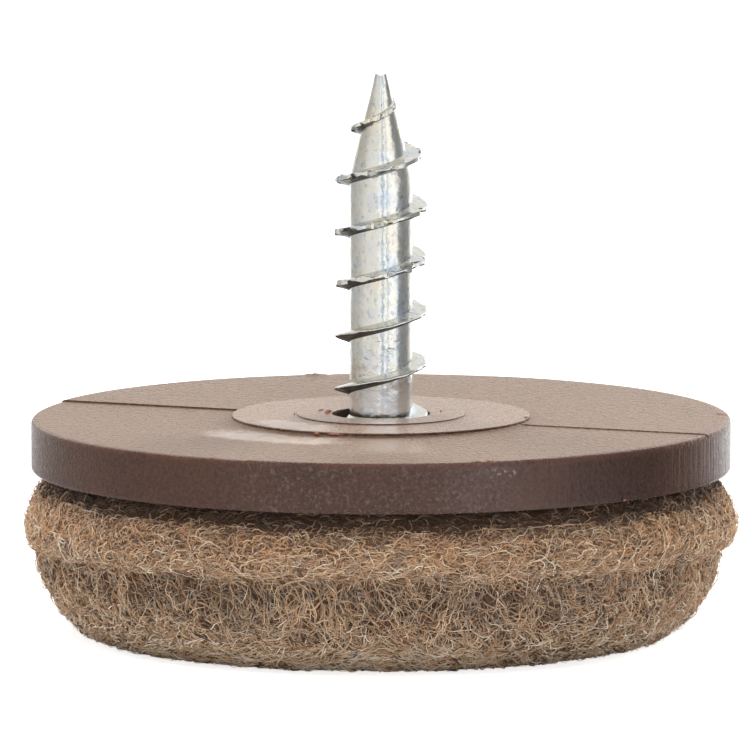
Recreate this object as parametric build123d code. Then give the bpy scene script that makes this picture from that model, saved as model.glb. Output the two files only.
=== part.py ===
from build123d import *

import math
import os

# Screw-on felt glide: a thick felt pad under a moulded plastic disc, with a wood screw standing
# out of the disc. Millimetres, +Z up along the screw, origin at the centre of the felt's underside.

# felt pad
felt_thickness = 7.0
felt_overhang = 0.25  # how far the upper band bulges past the rim of the disc
felt_top_inset = 0.9  # rim of the disc to the edge of the glued top face
felt_shoulder_height = 1.6  # rounded shoulder under the disc
felt_band_height = 3.1  # upper band, from the disc down to the foot of the ledge
felt_band_lean = 0.1  # how much the band narrows from the ledge up to the shoulder
felt_ledge_depth = 0.5  # how far the lower part steps in under the band
felt_ledge_height = 0.45
felt_side_taper = 0.3  # how much the lower part narrows before its bottom edge is rounded
felt_round_width = 2.25  # rounded bottom edge
felt_round_height = 2.4
felt_round_runs = 4  # straight runs in each rounded edge

# plastic disc
disc_diameter = 30.0
disc_thickness = 2.2
disc_top_round = 0.25
disc_bottom_chamfer = 0.12
plateau_diameter = 12.8
plateau_height = 0.1
ring_diameter = 7.2
ring_height = 0.05
parting_step = 0.07  # the half of the top face on the -Y side lies this much lower
parting_angle = -22.5  # direction of the parting line across the top face, in degrees
hole_clearance = 0.1  # between the thread crest and the wall of the hole

# screw
screw_length = 17.0  # head face to tip
core_diameter = 2.7
point_length = 4.45
tip_diameter = 0.46
tip_chamfer = 0.1
head_diameter = 7.0
head_rim = 0.15  # straight edge under the 90 degree cone of the head
recess_span = 4.0
recess_width = 0.95
recess_depth = 1.7
recess_floor_span = 1.7
recess_floor_width = 0.6

# screw thread, a ridge wound round the core
thread_diameter = 4.0
thread_pitch = 2.25
thread_flank_angle = 16.0
thread_crest_width = 0.08
thread_first_crest = 1.22  # height above the top of the disc where the crest faces -X
thread_root = 0.2  # how deep the ridge is rooted in the core
thread_buried = 0.1  # how deep its lower end is buried in the head
thread_tip_gap = 1.0  # bare end of the point
thread_lead = 0.3  # how far its upper end runs on, buried in the point
thread_growth = 3.6  # length over which the ridge grows to its full depth
points_per_span = 24

spare = 1.0  # how far a cutting body reaches past what it cuts

disc_radius = disc_diameter / 2
disc_top = felt_thickness + disc_thickness
core_radius = core_diameter / 2
tip_radius = tip_diameter / 2
head_radius = head_diameter / 2
thread_radius = thread_diameter / 2
hole_radius = thread_radius + hole_clearance
tip_height = felt_thickness + screw_length
point_foot = tip_height - point_length
head_cone_foot = felt_thickness + head_rim
head_cone_top = head_cone_foot + head_radius - core_radius
on_base = (Align.CENTER, Align.CENTER, Align.MIN)


def rounded_edge(centre, width, height, start_angle):
    # a quarter of an ellipse in short straight runs
    points = []
    for step in range(felt_round_runs + 1):
        angle = math.radians(start_angle + 90 * step / felt_round_runs)
        points.append((centre[0] + width * math.cos(angle), centre[1] + height * math.sin(angle)))
    return points


def make_felt_pad():
    band_radius = disc_radius + felt_overhang
    shoulder_radius = band_radius - felt_band_lean
    lower_radius = band_radius - felt_ledge_depth
    side_radius = lower_radius - felt_side_taper
    top_radius = disc_radius - felt_top_inset
    flat_radius = side_radius - felt_round_width
    ledge_height = felt_thickness - felt_band_height
    bottom_centre = (flat_radius, felt_round_height)
    shoulder_centre = (top_radius, felt_thickness - felt_shoulder_height)
    shoulder_width = shoulder_radius - top_radius
    outline = [
        (0, felt_thickness),
        (0, 0),
        *rounded_edge(bottom_centre, felt_round_width, felt_round_height, -90),
        (lower_radius, ledge_height),
        (band_radius, ledge_height + felt_ledge_height),
        *rounded_edge(shoulder_centre, shoulder_width, felt_shoulder_height, 0),
    ]
    with BuildSketch(Plane.XZ) as section:
        with BuildLine():
            Polyline(*outline, close=True)
        make_face()
    return revolve(section.sketch, Axis.Z).solid()


def screw_body():
    # the screw without its thread and recess
    with BuildSketch(Plane.XZ) as section:
        with BuildLine():
            Polyline(
                (0, felt_thickness),
                (head_radius, felt_thickness),
                (head_radius, head_cone_foot),
                (core_radius, head_cone_top),
                (core_radius, point_foot),
                (tip_radius, tip_height - tip_chamfer),
                (tip_radius - tip_chamfer, tip_height),
                (0, tip_height),
                close=True,
            )
        make_face()
    return revolve(section.sketch, Axis.Z).solid()


def make_disc():
    base = Pos(0, 0, felt_thickness)
    plate = base * Cylinder(disc_radius, disc_thickness, align=on_base)
    rims = plate.edges().filter_by(GeomType.CIRCLE).sort_by(Axis.Z)
    plate = fillet(rims[-1], disc_top_round)
    rims = plate.edges().filter_by(GeomType.CIRCLE).sort_by(Axis.Z)
    plate = chamfer(rims[0], disc_bottom_chamfer)

    # the lower half of the top face, up to the parting line
    lower_half = Box(
        disc_diameter + 2 * spare,
        disc_radius + spare,
        parting_step + spare,
        align=(Align.CENTER, Align.MAX, Align.MIN),
    )
    plate -= Pos(0, 0, disc_top - parting_step) * Rot(0, 0, parting_angle) * lower_half

    # two low round steps about the hole, the hole itself and the seat of the head
    plateau_reach = disc_thickness + plateau_height
    ring_reach = plateau_reach + ring_height
    plate += base * Cylinder(plateau_diameter / 2, plateau_reach, align=on_base)
    plate += base * Cylinder(ring_diameter / 2, ring_reach, align=on_base)
    plate -= base * Cylinder(hole_radius, ring_reach + spare, align=on_base)
    plate -= screw_body()
    return plate.solid()


def core_radius_at(height):
    slope = (core_radius - tip_radius) / point_length
    return min(core_radius, tip_radius + (tip_height - height) * slope)


def ridge_depth_at(height):
    # rises in a smooth curve from the bare tip to the full depth of the thread
    grown = (tip_height - thread_tip_gap - height) / thread_growth
    full_depth = thread_radius - core_radius
    return full_depth * (1 - max(0, 1 - grown) ** 2)


def ridge_edge(low, high, side, on_crest):
    # one long edge of a span of the ridge; side is -1 below the crest and +1 above it
    flank_slope = math.tan(math.radians(thread_flank_angle))
    points = []
    for step in range(points_per_span + 1):
        height = low + (high - low) * step / points_per_span
        turns = (height - disc_top - thread_first_crest) / thread_pitch
        angle = math.pi * (1 + 2 * turns)
        depth = ridge_depth_at(height)
        radius = core_radius_at(height) + depth
        half_width = thread_crest_width / 2
        if not on_crest:
            radius -= depth + thread_root
            half_width += (depth + thread_root) * flank_slope
        x, y = radius * math.cos(angle), radius * math.sin(angle)
        points.append((x, y, height + side * half_width))
    shares = [step / points_per_span for step in range(points_per_span + 1)]
    return Edge.make_spline(points, parameters=shares)


def ridge_span(low, high):
    edges = [
        ridge_edge(low, high, -1, False),
        ridge_edge(low, high, -1, True),
        ridge_edge(low, high, 1, True),
        ridge_edge(low, high, 1, False),
    ]
    faces = []
    for edge, next_edge in zip(edges, edges[1:] + edges[:1]):
        faces.append(Face.make_surface_from_curves(edge, next_edge))
    for end in (0, 1):
        faces.append(Face(Wire.make_polygon([edge @ end for edge in edges])))
    return Solid(Shell(faces))


def make_ridge():
    # spans of about one turn each, from inside the head to inside the point
    start = head_cone_foot + head_radius - thread_radius - thread_buried
    end = tip_height - thread_tip_gap + thread_lead
    count = math.ceil((end - start) / thread_pitch)
    heights = [start + (end - start) * step / count for step in range(count + 1)]
    return [ridge_span(low, high) for low, high in zip(heights, heights[1:])]


def make_screw():
    screw = screw_body().fuse(*make_ridge())
    face_plane = Plane.XY.offset(felt_thickness)
    floor_plane = face_plane.offset(recess_depth)
    for turn in (0, 90):
        mouth = face_plane * Rot(0, 0, turn) * Rectangle(recess_span, recess_width)
        floor = floor_plane * Rot(0, 0, turn) * Rectangle(recess_floor_span, recess_floor_width)
        screw -= loft([mouth.face(), floor.face()], ruled=True)
    return screw.solid()


os.makedirs("parts", exist_ok=True)
pieces = {"felt_pad": make_felt_pad(), "disc": make_disc(), "screw": make_screw()}
for name, piece in pieces.items():
    piece.label = name
    export_step(piece, f"parts/{name}.step")
    print(name, "valid:", piece.is_valid, "volume:", round(piece.volume, 2))
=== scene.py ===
import bisect
import math
import random

import bmesh
import bpy
from mathutils import Matrix, Vector, noise


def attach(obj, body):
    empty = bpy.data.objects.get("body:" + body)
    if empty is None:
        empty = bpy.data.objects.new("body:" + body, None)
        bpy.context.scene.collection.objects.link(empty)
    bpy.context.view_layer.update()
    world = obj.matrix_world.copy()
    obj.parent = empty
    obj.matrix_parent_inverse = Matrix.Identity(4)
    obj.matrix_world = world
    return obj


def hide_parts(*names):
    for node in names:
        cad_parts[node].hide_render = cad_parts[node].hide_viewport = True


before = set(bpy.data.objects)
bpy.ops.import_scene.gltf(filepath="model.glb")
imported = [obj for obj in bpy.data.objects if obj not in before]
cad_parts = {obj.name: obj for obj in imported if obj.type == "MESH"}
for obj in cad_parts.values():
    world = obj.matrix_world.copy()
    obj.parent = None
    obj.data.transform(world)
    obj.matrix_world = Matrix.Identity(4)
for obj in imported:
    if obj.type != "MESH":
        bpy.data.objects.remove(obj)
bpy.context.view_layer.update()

mm = 0.001
weld = 0.0005 * mm  # vertices closer than this are joined
scene = bpy.context.scene
scene.view_settings.view_transform = "Standard"


def tone(red, green, blue):  # a colour as a paint program shows it, made linear
    def linear(value):
        share = value / 255
        return share / 12.92 if share <= 0.04045 else ((share + 0.055) / 1.055) ** 2.4
    return (linear(red), linear(green), linear(blue), 1.0)


def grey(value):
    return (value, value, value, 1.0)


class Recipe:  # one material, with short calls for the nodes used here
    def __init__(self, name):
        self.material = bpy.data.materials.new(name)
        self.material.use_nodes = True
        self.nodes = self.material.node_tree.nodes
        self.links = self.material.node_tree.links
        self.shader = self.nodes["Principled BSDF"]
        self.place = self.nodes.new("ShaderNodeTexCoord").outputs["Object"]

    def put(self, socket, value):
        if isinstance(value, (int, float, tuple)):
            socket.default_value = value
        else:
            self.links.new(value, socket)

    def look(self, **values):
        for name, value in values.items():
            self.put(self.shader.inputs[name.replace("_", " ")], value)

    def calc(self, operation, first, second=0.0):
        node = self.nodes.new("ShaderNodeMath")
        node.operation = operation
        self.put(node.inputs[0], first)
        self.put(node.inputs[1], second)
        return node.outputs[0]

    def times(self, first, second):
        return self.calc("MULTIPLY", first, second)

    def larger(self, first, second):
        return self.calc("MAXIMUM", first, second)

    def fade(self, value, start, end, low=0.0, high=1.0):  # smooth step from low to high
        node = self.nodes.new("ShaderNodeMapRange")
        node.interpolation_type = "SMOOTHSTEP"
        self.put(node.inputs["Value"], value)
        node.inputs["From Min"].default_value = start
        node.inputs["From Max"].default_value = end
        node.inputs["To Min"].default_value = low
        node.inputs["To Max"].default_value = high
        return node.outputs["Result"]

    def band(self, value, low, high, soft):  # 1 between low and high, 0 outside
        opened = self.fade(value, low - soft, low + soft)
        return self.times(opened, self.fade(value, high + soft, high - soft))

    def grain(self, size, detail=2.0, roughness=0.5, distortion=0.0, scale=None):  # size in millimetres
        node = self.nodes.new("ShaderNodeTexNoise")
        node.inputs["Scale"].default_value = 1 / (size * mm)
        node.inputs["Detail"].default_value = detail
        node.inputs["Roughness"].default_value = roughness
        node.inputs["Distortion"].default_value = distortion
        source = self.place
        if scale:
            mapping = self.nodes.new("ShaderNodeMapping")
            mapping.inputs["Scale"].default_value = scale
            self.links.new(self.place, mapping.inputs["Vector"])
            source = mapping.outputs[0]
        self.links.new(source, node.inputs["Vector"])
        return node.outputs["Fac"]

    def ramp(self, value, stops):
        node = self.nodes.new("ShaderNodeValToRGB")
        elements = node.color_ramp.elements
        while len(elements) < len(stops):
            elements.new(0.5)
        for element, (place, colour) in zip(elements, stops):
            element.position = place
            element.color = colour
        self.links.new(value, node.inputs[0])
        return node.outputs[0]

    def mix(self, share, first, second):
        node = self.nodes.new("ShaderNodeMix")
        node.data_type = "RGBA"
        self.put(node.inputs[0], share)
        self.put(node.inputs[6], first)
        self.put(node.inputs[7], second)
        return node.outputs[2]

    def blend(self, share, first, second):
        node = self.nodes.new("ShaderNodeMix")
        self.put(node.inputs[0], share)
        self.put(node.inputs[2], first)
        self.put(node.inputs[3], second)
        return node.outputs[0]

    def bump(self, height, depth, strength=1.0, under=None):  # depth in millimetres
        node = self.nodes.new("ShaderNodeBump")
        node.inputs["Distance"].default_value = depth * mm
        self.put(node.inputs["Strength"], strength)
        self.links.new(height, node.inputs["Height"])
        if under is not None:
            self.links.new(under, node.inputs["Normal"])
        return node.outputs[0]

    def axes(self):  # x, y, z, distance from the screw's axis and direction round it, in mm and degrees
        node = self.nodes.new("ShaderNodeSeparateXYZ")
        self.links.new(self.place, node.inputs[0])
        x, y, z = (self.times(output, 1 / mm) for output in node.outputs)
        squares = self.calc("ADD", self.times(x, x), self.times(y, y))
        radius = self.calc("SQRT", squares)
        direction = self.times(self.calc("ARCTAN2", y, x), 180 / math.pi)
        return x, y, z, radius, direction


def finishPiece(name, mesh, materials, node=None):
    piece = bpy.data.objects.new(name, mesh)
    scene.collection.objects.link(piece)
    for material in materials:
        mesh.materials.append(material)
    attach(piece, "root")
    if node:
        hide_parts(node)
    return piece


def meshFrom(bm, name, sharp=None):
    bmesh.ops.remove_doubles(bm, verts=bm.verts, dist=weld)
    bmesh.ops.recalc_face_normals(bm, faces=bm.faces)
    for face in bm.faces:
        face.smooth = True
    if sharp:
        for edge in bm.edges:
            edge.smooth = len(edge.link_faces) != 2 or edge.calc_face_angle() < math.radians(sharp)
    mesh = bpy.data.meshes.new(name)
    bm.to_mesh(mesh)
    bm.free()
    return mesh


def chain(bm, points):  # a line of edges through points in the XZ plane, in millimetres
    verts = [bm.verts.new((x * mm, 0, z * mm)) for x, z in points]
    edges = [bm.edges.new(pair) for pair in zip(verts, verts[1:])]
    return verts + edges


def wholeOf(bm):
    return bm.verts[:] + bm.edges[:] + bm.faces[:]


def repeat(bm, geom, matrices):  # moved copies of the same geometry, joined where they meet
    for matrix in matrices:
        copied = bmesh.ops.duplicate(bm, geom=geom)["geom"]
        moved = [item for item in copied if isinstance(item, bmesh.types.BMVert)]
        bmesh.ops.transform(bm, matrix=matrix, verts=moved)
    bmesh.ops.remove_doubles(bm, verts=bm.verts, dist=weld)


def spinRound(bm, geom, steps):  # a quarter is spun and repeated, which is much quicker than a whole turn
    bmesh.ops.spin(bm, geom=geom, cent=(0, 0, 0), axis=(0, 0, 1), angle=math.pi / 2, steps=steps // 4)
    repeat(bm, wholeOf(bm), [Matrix.Rotation(math.pi / 2 * i, 4, "Z") for i in (1, 2, 3)])


# the zinc-plated screw
screwLook = {
    "headFace": 7.0, "headRadius": 3.5, "headRim": 0.15,
    "core": 1.35, "ridge": 0.65, "pitch": 2.25, "crestHalf": 0.04, "lowFlank": 17.0, "highFlank": 14.0,
    "crestFacingLeft": 10.42, "tip": 24.0, "tipRadius": 0.23, "point": 4.45,
    "bareTip": 1.0, "growth": 2.8, "shaftFoot": 8.2, "stepsPerTurn": 120, "turns": 9, "headSteps": 96,
    "nick": 0.8, "chewedFrom": 13.6, "lip": 0.11, "tumble": 0.012, "fork": 0.11, "undersideShadeFrom": 9.4,
}


def zincMaterial():
    recipe = Recipe("brightZinc")
    tint = recipe.grain(1.4, 3.0, 0.55)
    colour = recipe.ramp(tint, [
        (0.34, tone(202, 208, 212)), (0.48, tone(220, 218, 210)),
        (0.56, tone(210, 210, 201)), (0.68, tone(222, 214, 198))])
    specks = recipe.fade(recipe.grain(0.2, 3.0, 0.6, scale=(1, 1, 0.7)), 0.54, 0.7, 0.0, 0.5)
    colour = recipe.mix(specks, colour, tone(142, 150, 166))
    z, radius = recipe.axes()[2:4]
    bluish = recipe.times(recipe.fade(z, 11.4, 9.8), recipe.fade(z, 9.32, 9.4))
    bluish = recipe.times(bluish, recipe.fade(radius, 1.6, 1.42))
    colour = recipe.mix(bluish, colour, tone(228, 240, 248))
    cloud = recipe.grain(0.32, 4.0, 0.6)
    rough = recipe.ramp(cloud, [(0.32, grey(0.08)), (0.68, grey(0.26))])
    lumps = recipe.grain(0.5, 2.0, 0.5)
    pocked = recipe.grain(0.22, 3.0, 0.6, scale=(1, 1, 1.3))
    settled = recipe.fade(z, 13.4, 10.5, 1.0, 0.45)
    lumpy = recipe.bump(lumps, 0.06, recipe.times(settled, 0.5))
    normal = recipe.bump(pocked, 0.02, recipe.times(settled, 0.45), lumpy)
    recipe.look(Base_Color=colour, Roughness=rough, Metallic=1.0, Normal=normal)
    return recipe.material


def shadedUndersideZincMaterial():  # the flanks that face down under the ridge: a darker zinc, painted shade, and a rougher finish
    recipe = Recipe("shadedUndersideZinc")
    cloud = recipe.grain(0.3, 3.0, 0.6)
    colour = recipe.ramp(cloud, [(0.35, tone(90, 97, 100)), (0.65, tone(128, 134, 136))])
    rough = recipe.ramp(cloud, [(0.35, grey(0.25)), (0.65, grey(0.45))])
    recipe.look(Base_Color=colour, Roughness=rough, Metallic=1.0)
    return recipe.material


def makeScrew():
    look = screwLook
    half = look["pitch"] / 2
    sides = []
    for flank in (look["lowFlank"], look["highFlank"]):
        foot = look["crestHalf"] + look["ridge"] * math.tan(math.radians(flank))
        side = [(half, 0), (foot + 0.45, 0), (foot + 0.15, 0), (foot, 0)]
        for share in (0.2, 0.4, 0.6, 0.8, 0.93):
            side.append((foot + (look["crestHalf"] - foot) * share, look["ridge"] * share))
        sides.append(side + [(look["crestHalf"] * 0.6, look["ridge"] * 0.99)])
    profile = [(-z, h) for z, h in sides[0]] + [(0, look["ridge"])] + sides[1][::-1]
    low = look["crestFacingLeft"] - 2.5 * look["pitch"]  # where the crest faces +X, below the disc's top
    bm = bmesh.new()
    line = chain(bm, [(look["core"] + h, low + z) for z, h in profile])
    steps = look["stepsPerTurn"]
    bmesh.ops.spin(bm, geom=line, cent=(0, 0, 0), axis=(0, 0, 1), dvec=(0, 0, look["pitch"] / steps * mm),
                   angle=2 * math.pi, steps=steps)
    risen = [Matrix.Translation((0, 0, look["pitch"] * i * mm)) for i in range(1, look["turns"])]
    repeat(bm, wholeOf(bm), risen)
    slope = (look["core"] - look["tipRadius"]) / look["point"]
    for vert in bm.verts:
        x, y, z = vert.co / mm
        radius = math.hypot(x, y)
        lift = (radius - look["core"]) / look["ridge"]
        core = min(look["core"], max(0.02, look["tipRadius"] + (look["tip"] - z) * slope))
        grown = min(1.0, (look["tip"] - look["bareTip"] - z) / look["growth"])
        depth = max(0.0, look["ridge"] * (1 - (1 - grown) ** 2))
        crest = low + look["pitch"] * (math.atan2(y, x) / (2 * math.pi))
        offset = (z - crest + half) % look["pitch"] - half
        if grown < 1 and abs(offset) < 0.3:  # the ridge thins out with its depth
            vert.co.z -= offset * (0.35 - 0.35 * max(0.0, grown)) * mm
        if lift > 0.5:  # nicks in the rolled crest, deeper towards the point
            spot = Vector((x / radius * 5.5, y / radius * 5.5, z * 2.4))
            chewed = min(1.0, max(0.0, (z - look["chewedFrom"]) / 1.5))
            bite = max(0.0, noise.noise(spot) - 0.05) * (0.2 + 0.8 * chewed)
            depth -= look["nick"] * bite * (lift - 0.5) * 2 * depth / look["ridge"]
            vert.co.z += 0.05 * noise.noise(spot * 0.6) * lift * mm
            swollen = max(0.0, 0.45 + noise.noise(spot * 0.7 + Vector((9, 4, 2))))
            swollen *= chewed * (lift - 0.5) * 2 * min(1.0, abs(offset) / 0.02)
            vert.co.z += math.copysign(look["lip"], offset) * swollen * mm
        newRadius = core + depth * lift + look["tumble"] * noise.noise(Vector((x * 1.3, y * 1.3, z * 0.9)))
        vert.co.x *= newRadius / radius
        vert.co.y *= newRadius / radius
    for height, outward in ((look["tip"], 1), (look["shaftFoot"], -1)):
        bmesh.ops.bisect_plane(bm, geom=wholeOf(bm), plane_co=(0, 0, height * mm), plane_no=(0, 0, outward),
                               clear_outer=True)
    caps = bmesh.ops.holes_fill(bm, edges=[edge for edge in bm.edges if edge.is_boundary], sides=0)["faces"]
    bmesh.ops.poke(bm, faces=caps)
    for vert in bm.verts:  # the tip was pinched off and left two small horns
        x, y, z = vert.co / mm
        if z > look["tip"] - 0.1:
            vert.co.z -= look["fork"] * max(0.0, 1 - (x / look["tipRadius"]) ** 2) * mm
    headFoot, rim = look["headFace"], look["headRadius"]
    headTop = headFoot + look["headRim"] + rim - look["core"]
    head = bmesh.new()
    line = chain(head, [(0, headFoot), (rim - 0.03, headFoot), (rim, headFoot + 0.03),
                        (rim, headFoot + look["headRim"]), (look["core"], headTop), (0, headTop)])
    spinRound(head, line, look["headSteps"])
    bm.from_mesh(meshFrom(head, "screwHead"))
    mesh = meshFrom(bm, "screwVisual", 50)
    for face in mesh.polygons:
        x, y, z = face.center / mm
        # faces on the ridge that face down take the darker zinc, painted shade
        onRidge = math.hypot(x, y) > look["core"] * 0.6 and z > look["undersideShadeFrom"]
        face.material_index = int(onRidge and face.normal.z < -0.3)
    screw = finishPiece("screwVisual", mesh, [zincMaterial(), shadedUndersideZincMaterial()], "screw")
    print("screw:", len(screw.data.polygons), "faces")


# the moulded plastic disc
discLook = {
    "foot": 7.0, "top": 9.2, "radius": 15.0, "round": 0.16, "chamfer": 0.12,
    "plateau": 6.4, "plateauTop": 9.3, "ring": 3.6, "ringTop": 9.35, "hole": 2.1,
    "headRadius": 3.5, "headRim": 0.15, "partingAngle": -22.5, "stepLeft": 0.07, "stepRight": 0.045,
    "steps": 720,
    # bumps and notches of the rim: direction and half width in degrees, height
    "rimNotches": [(101.5, 2.8, 0.08), (98.7, 0.5, -0.06), (-74.3, 1.1, 0.05), (-72.0, 0.9, -0.06),
                   (-118.5, 0.7, 0.045), (2.5, 1.6, -0.09)],
    # the top's tones are a little lighter than the wall's: painted light on the top
    "wallTones": (tone(58, 35, 25), tone(82, 51, 37)), "topTones": (tone(58, 37, 27), tone(94, 64, 48)),
    "reddishRimShade": tone(92, 56, 45), "paintedGloss": tone(172, 156, 145), "haze": tone(230, 199, 170),
    "paintedGlint": tone(176, 166, 164), "paintedHighlight": tone(116, 96, 90), "deep": tone(34, 18, 11),
    "finishes": {"plasticWall": (0.02, 1.41), "plasticTop": (0.57, 1.4)},  # weight of the sheen, IOR
    # rubbed and polished places, both smoother, the rubbed ones also paler, which is painted gloss: from, to
    # and softness of the radius and of the direction
    "crescent": ((6.9, 9.2, 0.45), (-146.0, -103.0, 7.0)), "wornAndPaintedGloss": ((4.3, 6.2, 0.4), (-156.0, -114.0, 9.0)),
    "polished": ((2.0, 11.5, 1.5), (-99.0, -80.0, 4.0)),
    # parts of the wall by direction, where painted highlight, painted shade, pebbles and streaks go, and the
    # heights of the glint, whose light ribs are painted
    "frontWall": (-114.0, -68.0, 8.0), "paintedHighlightWall": (-79.0, -70.0, 6.0), "deepWall": (-60.0, -36.0, 5.0),
    "pebbledWall": (-104.0, -60.0, 12.0), "streakyWall": ((-70.0, -56.0, 3.0), (-42.0, -8.0, 8.0)),
    "glint": ((8.5, 8.85, 0.1), (-72.5, -67.5, 1.0)),
}


def plasticMaterial(name, sheen, gloss):
    look = discLook
    recipe = Recipe(name)
    y, z, radius, direction = recipe.axes()[1:]

    def spot(place, away, turned):  # 1 on one of the named places
        rings, sector = look[place]
        return recipe.times(recipe.band(away, *rings), recipe.band(turned, *sector))

    ragged = recipe.times(recipe.calc("SUBTRACT", recipe.grain(0.9, 3.0, 0.6), 0.5), 1.6)
    raggedRadius = recipe.calc("ADD", radius, ragged)
    raggedTurn = recipe.calc("ADD", direction, recipe.times(ragged, 14.0))
    spotty = recipe.fade(recipe.grain(0.35, 3.0, 0.6, scale=(1, 0.4, 1)), 0.32, 0.6, 0.78, 1.0)
    crescent = recipe.times(spot("crescent", raggedRadius, raggedTurn), spotty)
    wornAndPaintedGloss = recipe.times(spot("wornAndPaintedGloss", raggedRadius, raggedTurn), spotty)
    raised = recipe.times(recipe.fade(radius, 6.5, 6.3), recipe.fade(z, 9.2, 9.25))
    glint = spot("glint", z, raggedTurn)
    # the rubbed patches and the raised plateau are paler: painted gloss, beside their lower roughness set
    # below
    pale = recipe.larger(recipe.times(crescent, 0.4), recipe.times(wornAndPaintedGloss, 0.3))
    pale = recipe.larger(pale, recipe.times(raised, 0.07))
    sleek = recipe.larger(recipe.times(crescent, 0.95), recipe.times(wornAndPaintedGloss, 0.95))
    sleek = recipe.larger(sleek, recipe.times(raised, 0.4))
    sleek = recipe.larger(sleek, recipe.times(spot("polished", radius, direction), 0.65))
    onTop = recipe.times(recipe.fade(z, 8.95, 9.1), recipe.fade(radius, 14.85, 14.7))
    fine = recipe.grain(0.17, 3.0, 0.6)
    cloudy = recipe.calc("ADD", recipe.times(recipe.grain(4.0, 3.0), 0.3), recipe.times(fine, 0.7))
    wallColour = recipe.ramp(cloudy, [(0.36, look["wallTones"][0]), (0.64, look["wallTones"][1])])
    front = recipe.band(direction, *look["frontWall"])
    # the front of the wall is lightened, more in a narrower sector: painted highlight
    wallColour = recipe.mix(recipe.times(front, 0.04), wallColour, look["paintedHighlight"])
    paintedHighlight = recipe.times(recipe.band(direction, *look["paintedHighlightWall"]), 0.26)
    wallColour = recipe.mix(paintedHighlight, wallColour, look["paintedHighlight"])
    # light flecks on the front of the wall: painted glints
    glintFlecks = recipe.fade(recipe.grain(0.16, 3.0, 0.6), 0.5, 0.72, 0.0, 0.17)
    wallColour = recipe.mix(recipe.times(front, glintFlecks), wallColour, look["paintedGlint"])
    # the wall's right flank is darkened: painted shade
    deepened = recipe.mix(0.45, wallColour, look["deep"])
    wallColour = recipe.mix(recipe.band(direction, *look["deepWall"]), wallColour, deepened)
    speckled = recipe.grain(0.19, 3.0, 0.6, scale=(1, 0.5, 1))
    topColour = recipe.ramp(speckled, [(0.36, look["topTones"][0]), (0.64, look["topTones"][1])])
    # the top darkens towards the far side: painted shade
    topColour = recipe.mix(recipe.fade(y, -2.0, 9.0, 0.0, 0.4), topColour, look["topTones"][0])
    patchy = recipe.mix(onTop, wallColour, topColour)
    patchy = recipe.mix(pale, patchy, look["paintedGloss"])
    # a mottled reddish band on the rim's rounding: painted shade
    onRim = recipe.times(recipe.fade(z, 8.85, 9.0), recipe.fade(radius, 14.65, 14.8))
    rimShare = recipe.times(onRim, recipe.fade(recipe.grain(1.2, 2.0), 0.35, 0.6, 0.1, 0.5))
    colour = recipe.mix(rimShare, patchy, look["reddishRimShade"])
    # light ribs by the rim notch: painted glints, where the roughness is also lower
    ribs = recipe.fade(recipe.grain(0.13, 2.0, 0.5, scale=(1, 1, 0.7)), 0.5, 0.66, 0.0, 0.5)
    colour = recipe.mix(recipe.times(glint, ribs), colour, look["paintedGlint"])
    topRough = recipe.fade(fine, 0.3, 0.7, 0.26, 0.4)
    wallRough = recipe.fade(fine, 0.3, 0.7, 0.22, 0.36)
    rough = recipe.blend(onTop, wallRough, topRough)
    rough = recipe.blend(sleek, rough, 0.12)
    rough = recipe.blend(glint, rough, 0.2)
    rough = recipe.blend(recipe.fade(z, 7.16, 7.11), rough, 0.12)
    wrinkles = recipe.grain(0.19, 3.0, 0.6, 0.4)
    streaks = recipe.grain(0.28, 3.0, 0.6, scale=(1, 1, 0.06))
    streaky = recipe.larger(*[recipe.band(direction, *sector) for sector in look["streakyWall"]])
    streaky = recipe.times(streaky, recipe.fade(z, 9.0, 8.8))
    pebbled = recipe.fade(recipe.band(direction, *look["pebbledWall"]), 0.0, 1.0, 1.0, 2.8)
    relief = recipe.blend(streaky, recipe.times(wrinkles, pebbled), recipe.times(streaks, 0.9))
    relief = recipe.blend(onTop, relief, recipe.times(speckled, 2.0))
    depth = recipe.blend(sleek, 1.0, 0.06)
    waves = recipe.bump(recipe.grain(1.3, 2.0), 0.03, 0.3)
    normal = recipe.bump(relief, 0.06, depth, waves)
    recipe.look(Base_Color=colour, Roughness=rough, Normal=normal, IOR=gloss, Sheen_Weight=sheen,
                Sheen_Roughness=0.4, Sheen_Tint=look["haze"])
    return recipe.material


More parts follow.
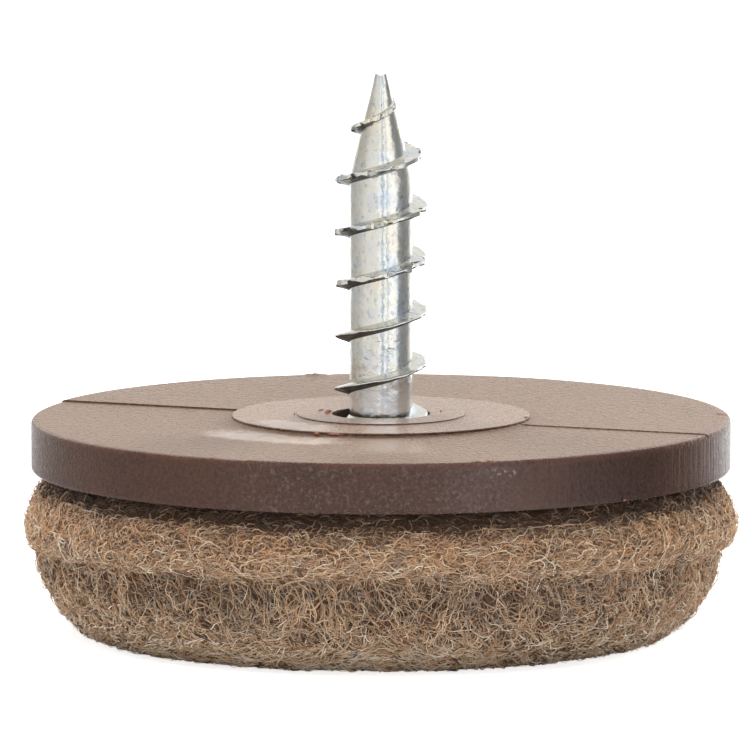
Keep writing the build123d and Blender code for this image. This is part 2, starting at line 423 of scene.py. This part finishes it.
def makeDisc():
    look = discLook
    seat = look["foot"] + look["headRim"]
    countersink = seat + look["headRadius"] - look["hole"]
    hole, ring, ringTop = look["hole"], look["ring"], look["ringTop"]
    plateau, plateauTop = look["plateau"], look["plateauTop"]
    outline = [(hole, countersink), (hole, ringTop - 0.02), (hole + 0.02, ringTop), (ring - 0.02, ringTop),
               (ring, ringTop - 0.02), (ring, plateauTop), (ring + 1.2, plateauTop),
               (plateau - 0.03, plateauTop), (plateau, plateauTop - 0.03), (plateau, look["top"])]
    outline += [(radius, look["top"]) for radius in (6.6, 7.5, 9, 11, 13, 14.2, 14.5)]
    for step in range(9):
        angle = math.radians(90 - 90 * step / 8)
        outline.append((look["radius"] - look["round"] + look["round"] * math.cos(angle),
                        look["top"] - look["round"] + look["round"] * math.sin(angle)))
    foot, head, chamfer = look["foot"], look["headRadius"], look["chamfer"]
    outline += [(look["radius"], z) for z in (8.5, 8.1, 7.7, 7.3, foot + chamfer)]
    outline += [(look["radius"] - 0.035, foot + 0.035), (look["radius"] - chamfer, foot)]
    outline += [(9.0, foot), (head, foot), (head, seat), outline[0]]
    bm = bmesh.new()
    spinRound(bm, chain(bm, outline), look["steps"])
    turn = math.radians(look["partingAngle"])
    along = Vector((math.cos(turn), math.sin(turn), 0))
    across = Vector((-math.sin(turn), math.cos(turn), 0))  # towards the far, higher half
    for offset in (0.0, -0.04):
        bmesh.ops.bisect_plane(bm, geom=wholeOf(bm), plane_co=across * offset * mm, plane_no=across,
                               dist=0.002 * mm)
    for vert in bm.verts:
        place = vert.co / mm
        radius = math.hypot(place.x, place.y)
        onTop = min(1.0, max(0.0, (place.z - 8.7) / 0.4))
        if place.dot(across) < -0.02 and radius > plateau + 0.01 and onTop > 0:
            step = look["stepRight"] if place.dot(along) > 0 else look["stepLeft"]
            vert.co.z -= step * onTop * mm
        if radius > 14:  # a moulded rim is never quite true
            angle = math.atan2(place.y, place.x)
            rise = 0.012 * noise.noise(Vector((math.cos(angle) * 3, math.sin(angle) * 3, place.z * 0.3)))
            for middle, width, height in look["rimNotches"]:
                away = (math.degrees(angle) - middle + 180) % 360 - 180
                if abs(away) < width and radius > 14.4:
                    ragged = 0.6 + 0.8 * noise.noise(place * 6)
                    rise += height * math.cos(away / width * math.pi / 2) ** 2 * ragged
            vert.co.z += rise * onTop * mm
    mesh = meshFrom(bm, "discVisual", 35)
    for face in mesh.polygons:
        face.material_index = int(face.normal.z > 0.8)
    materials = [plasticMaterial(name, *finish) for name, finish in look["finishes"].items()]
    disc = finishPiece("discVisual", mesh, materials, "disc")
    print("disc:", len(disc.data.polygons), "faces")


# crumbs of plastic torn up by the screw and left by the mould
crumbLook = {
    "seed": 5, "torn": tone(132, 78, 58), "pale": tone(168, 118, 96),
    # direction in degrees, spread, distance from the axis, height, size, stretch, count
    "spots": [(172, 14, 2.35, 9.36, 0.16, 1.8, 9), (160, 8, 2.75, 9.36, 0.10, 1.5, 4),
              (14, 5, 2.62, 9.36, 0.07, 1.2, 3), (-112, 8, 6.44, 9.24, 0.10, 2.6, 10),
              (178, 3, 3.72, 9.32, 0.07, 1.2, 2), (-10, 4, 6.3, 9.31, 0.07, 2.4, 4),
              (-176, 2.5, 6.42, 9.26, 0.08, 2.0, 4), (-47.6, 0.5, 14.98, 7.1, 0.12, 1.2, 2),
              (-72, 1.0, 14.72, 9.13, 0.11, 1.8, 4)],
}


def crumbMaterial():
    recipe = Recipe("tornPlastic")
    mottled = recipe.grain(0.2, 3.0, 0.6)
    colour = recipe.ramp(mottled, [(0.35, crumbLook["torn"]), (0.65, crumbLook["pale"])])
    normal = recipe.bump(recipe.grain(0.06, 2.0), 0.02, 0.8)
    recipe.look(Base_Color=colour, Roughness=0.55, Normal=normal)
    return recipe.material


def makeCrumbs():
    dice = random.Random(crumbLook["seed"])
    bm = bmesh.new()
    for direction, spread, distance, height, size, stretch, count in crumbLook["spots"]:
        for i in range(count):
            angle = math.radians(dice.gauss(direction, spread * 0.5))
            away = distance + dice.gauss(0, size * 0.4)
            grow = size * dice.uniform(0.5, 1.2) / 2
            made = bmesh.ops.create_icosphere(bm, subdivisions=2, radius=1.0)["verts"]
            for vert in made:
                vert.co *= 1 + 0.7 * noise.noise(vert.co * 1.6 + Vector((i * 7.3, size * 90, direction)))
            lie = Matrix.Rotation(angle + math.pi / 2 + dice.gauss(0, 0.4), 4, "Z")
            lie = lie @ Matrix.Rotation(dice.gauss(0, 0.5), 4, "X")
            shape = Matrix.Diagonal((grow * stretch * mm, grow * mm, grow * 0.55 * mm, 1))
            seat = Matrix.Translation(Vector((away * math.cos(angle), away * math.sin(angle), height)) * mm)
            bmesh.ops.transform(bm, matrix=seat @ lie @ shape, verts=made)
    mesh = meshFrom(bm, "plasticCrumbs")
    crumbs = finishPiece("plasticCrumbs", mesh, [crumbMaterial()])
    print("crumbs:", len(crumbs.data.polygons), "faces")


# the felt: a mottled ground with loose fibres on it
feltLook = {"steps": 320, "swell": 0.09, "lean": -0.14, "frontRise": 0.42, "fibreSides": 3}
# outline of the felt from the glued top edge down to the middle of the sole, in millimetres
feltOutline = [
    (13.15, 6.96), (13.65, 6.9), (14.12, 6.64), (14.5, 6.25), (14.8, 5.75), (15.02, 5.2), (15.14, 4.7),
    (15.14, 4.35), (15.0, 4.08), (14.72, 3.93), (14.56, 3.7), (14.52, 3.3), (14.45, 2.8), (14.32, 2.3),
    (14.05, 1.85), (13.72, 1.36), (13.3, 0.9), (12.85, 0.5), (12.48, 0.24), (12.08, 0.1), (11.5, 0.06),
    (10.0, 0.06), (8.0, 0.06), (5.0, 0.06), (2.0, 0.06), (0.0, 0.06),
]
feltReach = [0.0]
for (x0, z0), (x1, z1) in zip(feltOutline, feltOutline[1:]):
    feltReach.append(feltReach[-1] + math.hypot(x1 - x0, z1 - z0))


def feltAt(reach):  # radius, height and outward slope of the felt's skin, at a distance along its outline
    reach = min(max(reach, 0.0), feltReach[-1] - 1e-6)
    span = bisect.bisect_right(feltReach, reach) - 1
    share = (reach - feltReach[span]) / (feltReach[span + 1] - feltReach[span])
    (x0, z0), (x1, z1) = feltOutline[span], feltOutline[span + 1]
    length = math.hypot(x1 - x0, z1 - z0)
    return x0 + (x1 - x0) * share, z0 + (z1 - z0) * share, -(z1 - z0) / length, (x1 - x0) / length


def feltPoint(angle, reach, lift):
    radius, height, outX, outZ = feltAt(reach)
    x, y = radius * math.cos(angle), radius * math.sin(angle)
    lift += feltSwell(x, y, height)
    radius += outX * lift
    lean = feltLean(height)
    height = max(0.04, height + feltRise(angle, height) + outZ * lift)
    return Vector((radius * math.cos(angle) + lean, radius * math.sin(angle), height)) * mm


def feltLean(height):  # the lower part was cut a little to the left
    return feltLook["lean"] * min(1.0, max(0.0, (4.6 - height) / 1.2))


def feltRise(angle, height):  # the ledge climbs a little towards the front
    near = max(0.0, 1 - abs(height - 4.2) / 2.2)
    return feltLook["frontRise"] * max(0.0, -math.sin(angle)) ** 2 * near * near * (3 - 2 * near)


def feltSwell(x, y, z):  # slow lumps, the same for the ground and the fibres on it
    if math.hypot(x, y) < 12.0:
        return 0.0
    place = Vector((x, y, z))
    return feltLook["swell"] * (noise.noise(place * 0.4) + 0.7 * noise.noise(place * 1.2))


def feltGroundMaterial():
    recipe = Recipe("feltGround")
    patch = recipe.grain(1.3, 3.0, 0.6)
    above = recipe.ramp(patch, [
        (0.32, tone(100, 75, 54)), (0.47, tone(140, 108, 80)),
        (0.60, tone(158, 124, 93)), (0.74, tone(134, 112, 93))])
    # the ground below the ledge is darker: painted shade
    below = recipe.ramp(patch, [
        (0.32, tone(54, 39, 28)), (0.47, tone(76, 57, 42)),
        (0.60, tone(100, 78, 60)), (0.74, tone(88, 74, 62))])
    height = recipe.axes()[2]
    colour = recipe.mix(recipe.fade(height, 3.7, 4.2), below, above)
    # darker near the top, under the disc: painted shade
    colour = recipe.mix(recipe.fade(height, 5.8, 6.5), colour, tone(84, 60, 40))
    # paler near the sole: painted light from below
    colour = recipe.mix(recipe.fade(height, 0.5, 0.15), colour, tone(172, 146, 120))
    matted = recipe.grain(0.2, 4.0, 0.65, 1.5)
    recipe.look(Base_Color=colour, Roughness=0.95, Normal=recipe.bump(matted, 0.12, 0.9))
    return recipe.material


def makeFeltGround():
    bm = bmesh.new()
    fine = [(0.0, 6.97)]
    reach = 0.0
    while reach < feltReach[-1]:
        fine.append(feltAt(reach)[:2])
        reach += 0.25 if reach < 10 else 0.6
    fine.append((0.0, feltOutline[-1][1]))
    spinRound(bm, chain(bm, fine), feltLook["steps"])
    for vert in bm.verts:
        x, y, z = vert.co / mm
        radius = math.hypot(x, y)
        if radius > 13 or (radius > 12 and z < 3):
            lift = feltSwell(x, y, z) - 0.03
            vert.co.x *= 1 + lift / radius
            vert.co.y *= 1 + lift / radius
        if radius > 1:
            vert.co.z += feltRise(math.atan2(y, x), z) * mm
        vert.co.x += feltLean(z) * mm
    mesh = meshFrom(bm, "feltGround")
    ground = finishPiece("feltGround", mesh, [feltGroundMaterial()], "felt_pad")
    print("felt ground:", len(ground.data.polygons), "faces")


fibreTones = {
    "tan": tone(202, 160, 119), "straw": tone(231, 201, 166), "rust": tone(188, 140, 99),
    "taupe": tone(186, 155, 126), "grey": tone(156, 139, 122), "umber": tone(108, 77, 52),
    "chalk": tone(250, 236, 216), "shadowBrown": tone(76, 52, 34),
}


def fibreMaterial(name, colour):
    recipe = Recipe("fibre" + name.capitalize())
    recipe.look(Base_Color=colour, Roughness=0.7, Sheen_Weight=0.15, Sheen_Roughness=0.5)
    return recipe.material


def bareness(angle, reach):  # how thinly a place is covered, in patches under the ledge
    under = max(0.0, 1 - abs(reach - 5.3) / 2.2)
    place = Vector((math.cos(angle) * 12, math.sin(angle) * 12, reach * 1.6))
    return 1.1 * under * max(0.0, noise.noise(place) + 0.25)


def fibrePath(dice, zone):
    angle = dice.uniform(0, 2 * math.pi)
    reach = dice.uniform(*zone["reach"])
    while dice.random() < zone.get("thin", 0.0) * bareness(angle, reach):
        angle = dice.uniform(0, 2 * math.pi)
        reach = dice.uniform(*zone["reach"])
    flow = noise.noise(Vector((math.cos(angle) * 4, math.sin(angle) * 4, reach * 0.5 + zone["seed"])))
    heading = zone["heading"] + zone["sway"] * flow * 2 + dice.gauss(0, zone["spread"])
    length = dice.uniform(*zone["length"])
    bend = dice.gauss(0, zone["bend"])
    top = dice.uniform(*zone["lift"])
    phase = dice.uniform(0, 2 * math.pi)
    wave = 2 * math.pi / dice.uniform(0.6, 1.1)
    count = zone["points"]
    pace = length / (count - 1)
    path = []
    for step in range(count):
        arch = math.sin(math.pi * step / (count - 1))
        dip = 1 - zone["weave"] * (0.5 + 0.5 * math.sin(phase + wave * step * pace))
        lift = -0.05 + (top + 0.05) * dip * arch ** 0.6  # both ends sink into the ground
        path.append((feltPoint(angle, reach, lift), 0.4 + 0.6 * arch ** 0.5))
        crimped = heading + zone["crimp"] * math.cos(phase + wave * step * pace)
        angle += pace * math.cos(crimped) / max(1.0, feltAt(reach)[0])
        reach = min(feltReach[-1] - 0.3, max(zone["reach"][0] - 0.2, reach + pace * math.sin(crimped)))
        heading += bend * pace
    return path


def makeFibres(name, zone, section):
    dice = random.Random(zone["seed"])
    curve = bpy.data.curves.new(name, "CURVE")
    curve.dimensions = "3D"
    curve.bevel_mode = "OBJECT"
    curve.bevel_object = section
    toneNames = list(zone["tones"])
    for toneName in toneNames:
        curve.materials.append(fibreMaterials[toneName])
    for i in range(zone["count"]):
        path = fibrePath(dice, zone)
        spline = curve.splines.new("POLY")
        spline.points.add(len(path) - 1)
        thick = dice.uniform(*zone["thick"]) / 2
        for point, (place, taper) in zip(spline.points, path):
            point.co = (*place, 1.0)
            point.radius = thick * taper
        middle = path[len(path) // 2][0] / mm
        # the fade term turns lower fibres warmer and paler, painted light from below, and fibres near the
        # ledge greyer, painted shade
        patch = noise.noise(middle * 0.5) + dice.gauss(0, 0.15) + zone.get("fade", 0.0) * (2.3 - middle.z)
        weights = [zone["tones"][toneName][0 if patch > 0 else 1] for toneName in toneNames]
        spline.material_index = dice.choices(range(len(toneNames)), weights)[0]
    holder = bpy.data.objects.new(name + "Curve", curve)
    scene.collection.objects.link(holder)
    bpy.context.view_layer.update()
    mesh = bpy.data.meshes.new_from_object(holder.evaluated_get(bpy.context.evaluated_depsgraph_get()))
    bpy.data.objects.remove(holder)
    mesh.name = name
    mesh.polygons.foreach_set("use_smooth", [True] * len(mesh.polygons))
    fibres = finishPiece(name, mesh, [], "felt_pad")
    print(name + ":", len(mesh.polygons) * 2, "triangles,", len(mesh.materials), "tones")


# each tone has two weights: on the warm patches and on the grey ones
warmTones = {
    "tan": (46, 30), "straw": (28, 20), "rust": (14, 6), "taupe": (8, 24), "grey": (1, 12), "umber": (9, 17),
}
coolTones = {
    "tan": (20, 6), "straw": (48, 18), "rust": (3, 1), "taupe": (22, 30), "grey": (3, 26), "umber": (8, 26),
}
bandTones = {"tan": (26, 18), "rust": (18, 12), "taupe": (20, 22), "grey": (8, 18), "umber": (34, 44)}
sideTones = {"tan": (20, 4), "rust": (8, 3), "taupe": (28, 18), "grey": (14, 22), "umber": (32, 60)}
paleTones = {"tan": (32, 24), "straw": (44, 44), "rust": (6, 4), "taupe": (10, 18), "chalk": (8, 10)}
# mostly pale fibres for the bottom edge: painted light from below
edgeTones = {"tan": (10, 8), "straw": (34, 32), "rust": (4, 2), "umber": (16, 22), "chalk": (42, 42)}
# dark fibres for the shoulder under the disc: painted shade
deepTones = {"taupe": (6, 6), "grey": (6, 8), "umber": (54, 52), "shadowBrown": (34, 34)}
# reach is how far down the outline a fibre starts, lift how high it arches off the ground, in millimetres
fibreZones = {
    # dark fibres under the disc, painted shade
    "feltShoulder": {
        "count": 3400, "reach": (0.2, 1.75), "length": (0.7, 1.5), "points": 7, "heading": 0.0,
        "sway": 0.6, "spread": 0.6, "bend": 0.8, "crimp": 0.5, "lift": (0.0, 0.10),
        "thick": (0.045, 0.08), "weave": 0.6, "tones": deepTones, "seed": 20,
    },
    "feltBandUnder": {
        "count": 4800, "reach": (1.6, 4.1), "length": (0.7, 1.5), "points": 7, "heading": 0.1,
        "sway": 0.9, "spread": 0.7, "bend": 0.9, "crimp": 0.6, "lift": (0.0, 0.10),
        "thick": (0.045, 0.08), "weave": 0.6, "tones": bandTones, "seed": 21,
    },
    "feltBandOver": {
        "count": 4600, "reach": (1.8, 4.1), "length": (0.6, 1.4), "points": 7, "heading": 0.1,
        "sway": 0.9, "spread": 0.8, "bend": 1.0, "crimp": 0.8, "lift": (0.03, 0.17),
        "thick": (0.035, 0.07), "weave": 0.85, "tones": warmTones, "seed": 22,
    },
    "feltSideUnder": {
        "count": 4400, "reach": (3.8, 8.4), "length": (0.9, 2.2), "points": 8, "heading": 0.9,
        "sway": 1.0, "spread": 0.5, "bend": 0.5, "crimp": 0.4, "lift": (0.0, 0.12), "thick": (0.06, 0.1),
        "weave": 0.7, "tones": sideTones, "seed": 23, "fade": 0.3,
    },
    "feltSideOver": {
        "count": 4700, "reach": (4.1, 8.6), "length": (0.8, 2.0), "points": 8, "heading": 0.9,
        "sway": 1.0, "spread": 0.55, "bend": 0.5, "crimp": 0.45, "lift": (0.03, 0.2),
        "thick": (0.036, 0.068), "weave": 0.95, "tones": coolTones, "seed": 24, "thin": 1.0, "fade": 0.3,
    },
    "feltSideFine": {
        "count": 4200, "reach": (4.1, 8.8), "length": (0.5, 1.3), "points": 5, "heading": 0.9,
        "sway": 1.2, "spread": 0.8, "bend": 0.8, "crimp": 0.5, "lift": (0.04, 0.18),
        "thick": (0.018, 0.034), "weave": 0.5, "tones": coolTones, "seed": 31, "fade": 0.3,
    },
    "feltLedgeFringe": {
        "count": 2200, "reach": (3.2, 4.2), "length": (0.6, 1.8), "points": 7, "heading": 0.1,
        "sway": 0.4, "spread": 0.4, "bend": 0.7, "crimp": 0.5, "lift": (0.03, 0.22),
        "thick": (0.03, 0.06), "weave": 0.5, "tones": paleTones, "seed": 25,
    },
    "feltEdgeFringe": {
        "count": 3300, "reach": (7.4, 9.6), "length": (0.9, 2.2), "points": 8, "heading": 0.3,
        "sway": 0.6, "spread": 0.6, "bend": 0.4, "crimp": 0.4, "lift": (0.05, 0.3),
        "thick": (0.045, 0.085), "weave": 0.6, "tones": edgeTones, "seed": 26,
    },
    "feltLowStrands": {
        "count": 1600, "reach": (6.0, 9.0), "length": (1.0, 2.6), "points": 8, "heading": 0.7,
        "sway": 0.9, "spread": 0.6, "bend": 0.5, "crimp": 0.4, "lift": (0.08, 0.26),
        "thick": (0.035, 0.06), "weave": 0.7, "tones": edgeTones, "seed": 30, "thin": 0.6,
    },
    "feltSoleFibres": {
        "count": 4200, "reach": (9.2, 21.5), "length": (1.2, 3.0), "points": 7, "heading": 0.0,
        "sway": 3.0, "spread": 2.0, "bend": 0.5, "crimp": 0.4, "lift": (0.0, 0.06),
        "thick": (0.05, 0.09), "weave": 0.5, "tones": paleTones, "seed": 27,
    },
    "feltWisps": {
        "count": 700, "reach": (1.9, 8.8), "length": (1.4, 3.4), "points": 11, "heading": 0.5,
        "sway": 1.5, "spread": 1.0, "bend": 0.7, "crimp": 0.4, "lift": (0.12, 0.34),
        "thick": (0.025, 0.045), "weave": 0.3, "tones": paleTones, "seed": 28,
    },
    "feltFuzz": {
        "count": 5600, "reach": (1.7, 9.0), "length": (0.4, 1.0), "points": 5, "heading": 0.6,
        "sway": 1.5, "spread": 1.5, "bend": 1.0, "crimp": 0.5, "lift": (0.1, 0.36),
        "thick": (0.012, 0.024), "weave": 0.0, "tones": paleTones, "seed": 29,
    },
}


def makeFelt():
    makeFeltGround()
    sides = bpy.data.curves.new("fibreSection", "CURVE")
    sides.dimensions = "2D"
    ring = sides.splines.new("POLY")
    ring.points.add(feltLook["fibreSides"] - 1)
    for i, point in enumerate(ring.points):
        angle = 2 * math.pi * i / feltLook["fibreSides"]
        point.co = (math.cos(angle) * mm, math.sin(angle) * mm, 0, 1)
    ring.use_cyclic_u = True
    section = bpy.data.objects.new("fibreSection", sides)
    scene.collection.objects.link(section)
    for name, zone in fibreZones.items():
        makeFibres(name, zone, section)
    bpy.data.objects.remove(section)


makeScrew()
makeDisc()
makeCrumbs()
fibreMaterials = {name: fibreMaterial(name, colour) for name, colour in fibreTones.items()}
makeFelt()

# stage: white floor, soft light and the camera
stageLook = {
    "floorSize": 6000, "floorTone": 0.97, "floorGlow": 0.75, "skyLight": 0.13,
    "distance": 480, "elevation": 7.15, "lens": 537.6, "aim": (-0.257, 0.0, 11.0),
    # lamps: place, what they aim at and size in millimetres, power in watts
    "lamps": {"topLamp": ((-30, -60, 390), (0, 0, 8), 320, 1.95),
              "frontLamp": ((60, -340, 30), (0, 0, 2), 220, 0.32),
              "leftLamp": ((-400, 450, 110), (0, 0, 5), 240, 2.0),
              "rightLamp": ((400, 450, 110), (0, 0, 5), 240, 3.0)},
    # reflector round the object, seen in gloss only: direction in degrees, brightness, blueness
    "reflectorInside": 18, "reflectorRadius": 70, "reflectorTop": 80, "reflectorSteps": 90,
    "reflector": [(-150, 1.2, 0), (-130, 0.52, -0.06), (-84, 0.64, -0.06), (-60, 0.9, -0.04), (-9, 1.08, 0),
                  (-5, 1.4, 0), (0, 1.4, 0), (3, 0.8, 0.34), (9, 0.8, 0.34), (12, 1.5, 0), (20, 1.5, 0),
                  (23, 0.95, 0.3), (27, 0.95, 0.3), (30, 1.5, 0), (56, 1.4, 0), (68, 0.45, 0.2),
                  (88, 0.3, 0), (112, 0.36, 0), (126, 0.8, 0), (140, 1.7, 0), (158, 2.1, 0)],
}


def seenRays(nodes, links):  # 1 for what the camera sees, directly or in gloss or glass
    rays = nodes.new("ShaderNodeLightPath")
    first = nodes.new("ShaderNodeMath")
    first.operation = "MAXIMUM"
    links.new(rays.outputs["Is Camera Ray"], first.inputs[0])
    links.new(rays.outputs["Is Glossy Ray"], first.inputs[1])
    second = nodes.new("ShaderNodeMath")
    second.operation = "MAXIMUM"
    links.new(first.outputs[0], second.inputs[0])
    links.new(rays.outputs["Is Transmission Ray"], second.inputs[1])
    return second.outputs[0]


def makeFloor():
    bm = bmesh.new()
    bmesh.ops.create_grid(bm, x_segments=1, y_segments=1, size=stageLook["floorSize"] / 2 * mm)
    mesh = bpy.data.meshes.new("floor")
    bm.to_mesh(mesh)
    bm.free()
    floor = bpy.data.objects.new("floor", mesh)
    scene.collection.objects.link(floor)
    recipe = Recipe("whiteFloor")
    rays = recipe.nodes.new("ShaderNodeLightPath")
    away = recipe.fade(recipe.axes()[3], 60.0, 200.0)  # close to the object the lamps alone whiten its image
    seen = recipe.larger(rays.outputs["Is Camera Ray"], rays.outputs["Is Transmission Ray"])
    seen = recipe.larger(seen, recipe.times(rays.outputs["Is Glossy Ray"], away))
    recipe.look(Base_Color=grey(stageLook["floorTone"]), Roughness=0.9, Specular_IOR_Level=0.0,
                Emission_Color=grey(1.0), Emission_Strength=recipe.times(seen, stageLook["floorGlow"]))
    mesh.materials.append(recipe.material)


def makeReflector():
    bm = bmesh.new()
    first, last = stageLook["reflector"][0][0], stageLook["reflector"][-1][0]
    inner = bm.verts.new((0, -stageLook["reflectorInside"] * mm, 0.0005))
    foot = bm.verts.new((0, -stageLook["reflectorRadius"] * mm, 0.001))
    head = bm.verts.new((0, -stageLook["reflectorRadius"] * mm, stageLook["reflectorTop"] * mm))
    wall = [inner, foot, head, bm.edges.new((inner, foot)), bm.edges.new((foot, head))]
    turn = Matrix.Rotation(math.radians(first), 3, "Z")
    bmesh.ops.rotate(bm, verts=[inner, foot, head], cent=(0, 0, 0), matrix=turn)
    bmesh.ops.spin(bm, geom=wall, cent=(0, 0, 0), axis=(0, 0, 1), angle=math.radians(last - first),
                   steps=stageLook["reflectorSteps"])
    mesh = bpy.data.meshes.new("reflector")
    bm.to_mesh(mesh)
    bm.free()
    reflector = bpy.data.objects.new("reflector", mesh)
    scene.collection.objects.link(reflector)
    recipe = Recipe("reflectorCard")
    x, y = recipe.axes()[:2]
    turned = recipe.times(recipe.calc("ARCTAN2", x, recipe.times(y, -1.0)), 180 / math.pi)
    share = recipe.fade(turned, -180.0, 180.0)
    share.node.interpolation_type = "LINEAR"
    peak = max(level for angle, level, blue in stageLook["reflector"])
    stops = []
    for angle, level, blue in stageLook["reflector"]:
        tint = (level * (1 - blue) / peak, level * (1 - blue * 0.6) / peak, level / peak, 1.0)
        stops.append(((angle + 180) / 360, tint))
    recipe.look(Base_Color=grey(0.0), Roughness=1.0, Emission_Color=recipe.ramp(share, stops),
                Emission_Strength=peak)
    mesh.materials.append(recipe.material)
    reflector.visible_camera = False
    reflector.visible_diffuse = False
    reflector.visible_shadow = False
    reflector.visible_transmission = False


def makeWorld():
    world = bpy.data.worlds.new("studio")
    scene.world = world
    world.use_nodes = True
    nodes, links = world.node_tree.nodes, world.node_tree.links
    nodes.clear()
    shades = []
    for level in (stageLook["skyLight"], 1.0):
        shade = nodes.new("ShaderNodeBackground")
        shade.inputs["Color"].default_value = grey(1.0)
        shade.inputs["Strength"].default_value = level
        shades.append(shade)
    mix = nodes.new("ShaderNodeMixShader")
    links.new(seenRays(nodes, links), mix.inputs[0])
    links.new(shades[0].outputs[0], mix.inputs[1])
    links.new(shades[1].outputs[0], mix.inputs[2])
    links.new(mix.outputs[0], nodes.new("ShaderNodeOutputWorld").inputs["Surface"])


def softLamp(name, place, aim, size, power):  # kept out of the gloss, where the reflector stands
    lamp = bpy.data.lights.new(name, "AREA")
    lamp.shape = "DISK"
    lamp.size = size * mm
    lamp.energy = power
    holder = bpy.data.objects.new(name, lamp)
    holder.location = Vector(place) * mm
    holder.rotation_euler = (Vector(aim) * mm - holder.location).to_track_quat("-Z", "Y").to_euler()
    holder.visible_camera = False
    holder.visible_glossy = False
    scene.collection.objects.link(holder)


def makeCamera():
    camera = bpy.data.cameras.new("camera")
    camera.lens = stageLook["lens"]
    camera.sensor_width = 36
    camera.clip_start = 0.01
    holder = bpy.data.objects.new("camera", camera)
    lift = math.radians(stageLook["elevation"])
    aim = Vector(stageLook["aim"]) * mm
    holder.location = aim + Vector((0, -math.cos(lift), math.sin(lift))) * stageLook["distance"] * mm
    holder.rotation_euler = (aim - holder.location).to_track_quat("-Z", "Y").to_euler()
    scene.collection.objects.link(holder)
    scene.camera = holder


makeFloor()
makeReflector()
makeWorld()
for name, lamp in stageLook["lamps"].items():
    softLamp(name, *lamp)
makeCamera()
print("stage ready")
